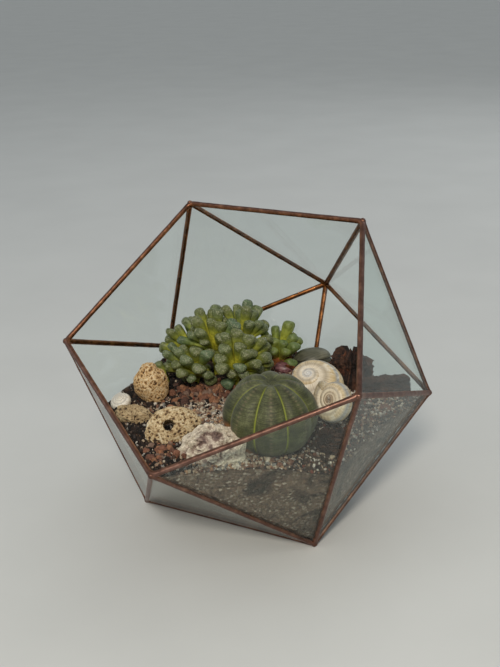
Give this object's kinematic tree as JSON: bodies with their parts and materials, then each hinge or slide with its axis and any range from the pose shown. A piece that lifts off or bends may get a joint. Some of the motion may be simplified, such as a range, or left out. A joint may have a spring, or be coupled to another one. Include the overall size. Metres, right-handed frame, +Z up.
{
  "type": "glass plant terrarium",
  "caption": "Open faceted glass terrarium with soldered copper-toned seams, filled with soil, succulents, shells, weathered stones and bark.",
  "frame": {"origin": "bottom centre of the whole terrarium's box, on the surface that it stands on", "axes": "+Z up; -Y is the front, where the five-sided opening faces up and forward; +X is to the right as seen from the front"},
  "size_m": [0.2138, 0.2468, 0.1998],
  "materials": {
    "copper_solder": "satin",
    "clear_glass": "gloss",
    "moist_soil": "matte",
    "grit": "matte",
    "euphorbia_skin": "satin",
    "leaf_skin": "satin",
    "side_leaf_skin": "satin",
    "cream_shell": "satin",
    "ringed_shell": "satin",
    "white_shell": "satin",
    "oyster": "satin",
    "grey_shell": "satin",
    "limestone": "matte",
    "bark": "matte"
  },
  "bodies": {
    "root": {"banded_snail_shell": "cream_shell", "bark_block": "bark", "bark_log": "bark", "bark_tall": "bark", "clump_head_back_left": "leaf_skin", "clump_head_back_right": "leaf_skin", "clump_head_centre": "leaf_skin", "clump_head_front_left": "leaf_skin", "clump_head_front_right": "leaf_skin", "flat_pitted_stone": "limestone", "grey_clam": "grey_shell", "grit_dressing": "grit", "holed_stone": "limestone", "oyster_shell": "oyster", "pane_base_back_base_left_base_right": "clear_glass", "pane_base_back_base_left_low_left": "clear_glass", "pane_base_back_base_right_low_right": "clear_glass", "pane_base_back_low_left_mid_back": "clear_glass", "pane_base_back_low_right_mid_back": "clear_glass", "pane_base_left_base_right_low_front": "clear_glass", "pane_base_left_low_front_mid_left": "clear_glass", "pane_base_left_low_left_mid_left": "clear_glass", "pane_base_right_low_front_mid_right": "clear_glass", "pane_base_right_low_right_mid_right": "clear_glass", "pane_low_left_mid_back_top_left": "clear_glass", "pane_low_left_mid_left_top_left": "clear_glass", "pane_low_right_mid_back_top_right": "clear_glass", "pane_low_right_mid_right_top_right": "clear_glass", "pane_mid_back_top_right_top_left": "clear_glass", "potting_soil": "moist_soil", "rim_low_front_mid_left": "copper_solder", "rim_low_front_mid_right": "copper_solder", "rim_mid_left_top_left": "copper_solder", "rim_mid_right_top_right": "copper_solder", "rim_top_right_top_left": "copper_solder", "ringed_snail_shell": "ringed_shell", "round_euphorbia": "euphorbia_skin", "seam_base_back_base_left": "copper_solder", "seam_base_back_base_right": "copper_solder", "seam_base_back_low_left": "copper_solder", "seam_base_back_low_right": "copper_solder", "seam_base_back_mid_back": "copper_solder", "seam_base_left_base_right": "copper_solder", "seam_base_left_low_front": "copper_solder", "seam_base_left_low_left": "copper_solder", "seam_base_left_mid_left": "copper_solder", "seam_base_right_low_front": "copper_solder", "seam_base_right_low_right": "copper_solder", "seam_base_right_mid_right": "copper_solder", "seam_low_left_mid_back": "copper_solder", "seam_low_left_mid_left": "copper_solder", "seam_low_left_top_left": "copper_solder", "seam_low_right_mid_back": "copper_solder", "seam_low_right_mid_right": "copper_solder", "seam_low_right_top_right": "copper_solder", "seam_mid_back_top_left": "copper_solder", "seam_mid_back_top_right": "copper_solder", "side_clump": "side_leaf_skin", "upright_stone": "limestone", "white_snail_shell": "white_shell"}
  },
  "joints": []
}
